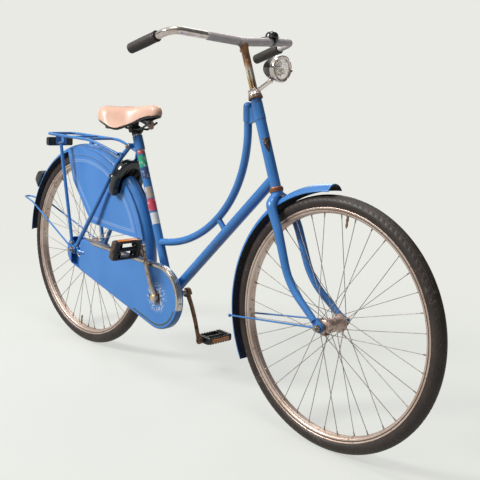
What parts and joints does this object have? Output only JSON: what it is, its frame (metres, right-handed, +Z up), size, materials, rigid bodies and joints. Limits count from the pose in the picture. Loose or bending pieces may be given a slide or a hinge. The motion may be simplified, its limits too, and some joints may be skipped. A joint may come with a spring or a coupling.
{
  "type": "step-through roadster bicycle",
  "caption": "Step-through city bicycle with a swan-neck top tube, full chain case, skirt guards, rack, lamp and sprung saddle.",
  "frame": {"origin": "top of the saddle, over the middle of the seat, where the rider sits", "axes": "+X forward, +Y to the rider's left, +Z up"},
  "size_m": [1.94, 0.5344, 1.1254],
  "materials": {
    "bell": "black plastic",
    "bracket_shell": "satin mid-blue paint",
    "case_trim": "weathered chrome",
    "chain_case": "satin lighter blue",
    "chain_stay_left": "satin mid-blue paint",
    "chain_stay_right": "satin mid-blue paint",
    "crank_axle": "dull steel",
    "crank_left": "rusted steel",
    "crank_right": "rusted steel",
    "down_tube": "satin mid-blue paint",
    "fender_bridges": "satin mid-blue paint",
    "fender_loop": "satin mid-blue paint",
    "fork_blade_left": "satin mid-blue paint",
    "fork_blade_right": "satin mid-blue paint",
    "fork_steerer": "satin mid-blue paint",
    "front_axle": "dull steel",
    "front_fender": "satin mid-blue paint",
    "front_fender_stays": "satin mid-blue paint",
    "front_hub": "weathered chrome",
    "front_rim": "weathered chrome",
    "front_spokes": "dull steel",
    "front_tyre": "weathered black rubber",
    "grips": "ribbed rubber",
    "handlebar": "polished chrome",
    "head_lug": "satin mid-blue paint",
    "head_tube": "satin mid-blue paint",
    "headset_cups": "polished chrome",
    "lamp_bracket": "polished chrome",
    "lamp_lens": "clear lens",
    "lamp_rim": "polished chrome",
    "lamp_shell": "black plastic",
    "luggage_rack": "satin mid-blue paint",
    "pedal_left": "black moulded plastic",
    "pedal_right": "black moulded plastic",
    "pedal_spindles": "dull steel",
    "rack_reflector": "black housing",
    "rack_stays": "satin mid-blue paint",
    "rear_axle": "dull steel",
    "rear_fender": "satin mid-blue paint",
    "rear_hub": "weathered chrome",
    "rear_rim": "weathered chrome",
    "rear_spokes": "dull steel",
    "rear_tyre": "weathered black rubber",
    "ring_lock": "black plastic",
    "saddle_base": "black plastic",
    "saddle_clamp": "dull steel",
    "saddle_cover": "peach vinyl",
    "saddle_rails": "dull steel",
    "seat_lug": "satin mid-blue paint",
    "seat_post": "polished chrome",
    "seat_stay_left": "satin mid-blue paint",
    "seat_stay_right": "satin mid-blue paint",
    "seat_tube": "satin mid-blue paint",
    "skirt_guard_left": "satin lighter blue",
    "skirt_guard_right": "satin lighter blue",
    "stem": "polished chrome",
    "swan_tube": "satin mid-blue paint",
    "tail_lamp": "black housing",
    "tube_bridge": "satin mid-blue paint"
  },
  "bodies": {
    "frame": {"bracket_shell": "bracket_shell", "case_trim": "case_trim", "chain_case": "chain_case", "chain_stay_left": "chain_stay_left", "chain_stay_right": "chain_stay_right", "down_tube": "down_tube", "fender_bridges": "fender_bridges", "fender_loop": "fender_loop", "head_lug": "head_lug", "head_tube": "head_tube", "headset_cups": "headset_cups", "luggage_rack": "luggage_rack", "rack_reflector": "rack_reflector", "rack_stays": "rack_stays", "rear_axle": "rear_axle", "rear_fender": "rear_fender", "ring_lock": "ring_lock", "saddle_base": "saddle_base", "saddle_clamp": "saddle_clamp", "saddle_cover": "saddle_cover", "saddle_rails": "saddle_rails", "seat_lug": "seat_lug", "seat_post": "seat_post", "seat_stay_left": "seat_stay_left", "seat_stay_right": "seat_stay_right", "seat_tube": "seat_tube", "skirt_guard_left": "skirt_guard_left", "skirt_guard_right": "skirt_guard_right", "swan_tube": "swan_tube", "tail_lamp": "tail_lamp", "tube_bridge": "tube_bridge"},
    "fork": {"fork_steerer": "fork_steerer", "fork_blade_left": "fork_blade_left", "fork_blade_right": "fork_blade_right", "front_axle": "front_axle", "stem": "stem", "handlebar": "handlebar", "grips": "grips", "bell": "bell", "lamp_shell": "lamp_shell", "lamp_rim": "lamp_rim", "lamp_lens": "lamp_lens", "lamp_bracket": "lamp_bracket", "front_fender": "front_fender", "front_fender_stays": "front_fender_stays"},
    "front_wheel": {"front_tyre": "front_tyre", "front_rim": "front_rim", "front_hub": "front_hub", "front_spokes": "front_spokes"},
    "rear_wheel": {"rear_tyre": "rear_tyre", "rear_rim": "rear_rim", "rear_hub": "rear_hub", "rear_spokes": "rear_spokes"},
    "cranks": {"crank_axle": "crank_axle", "crank_left": "crank_left", "crank_right": "crank_right", "pedal_spindles": "pedal_spindles"},
    "pedal_right": {"pedal_right": "pedal_right"},
    "pedal_left": {"pedal_left": "pedal_left"}
  },
  "joints": [
    {"name": "steering", "type": "hinge", "parent": "frame", "child": "fork", "pos_m": [0.69386, 0, -0.18428], "axis": [-0.3827, 0, 0.9239], "range_deg": [-60, 60]},
    {"name": "front_wheel_spin", "type": "hinge", "parent": "fork", "child": "front_wheel", "pos_m": [0.932, 0, -0.52401], "axis": [0, 1, 0], "continuous": true},
    {"name": "rear_wheel_spin", "type": "hinge", "parent": "frame", "child": "rear_wheel", "pos_m": [-0.215, 0, -0.52401], "axis": [0, 1, 0], "continuous": true},
    {"name": "crank_spin", "type": "hinge", "parent": "frame", "child": "cranks", "pos_m": [0.2595, 0, -0.59341], "axis": [0, 1, 0], "continuous": true},
    {"name": "pedal_right_spin", "type": "hinge", "parent": "cranks", "child": "pedal_right", "pos_m": [0.19157, -0.13, -0.44084], "axis": [0, 1, 0], "continuous": true},
    {"name": "pedal_left_spin", "type": "hinge", "parent": "cranks", "child": "pedal_left", "pos_m": [0.32742, 0.13, -0.74597], "axis": [0, 1, 0], "continuous": true}
  ]
}
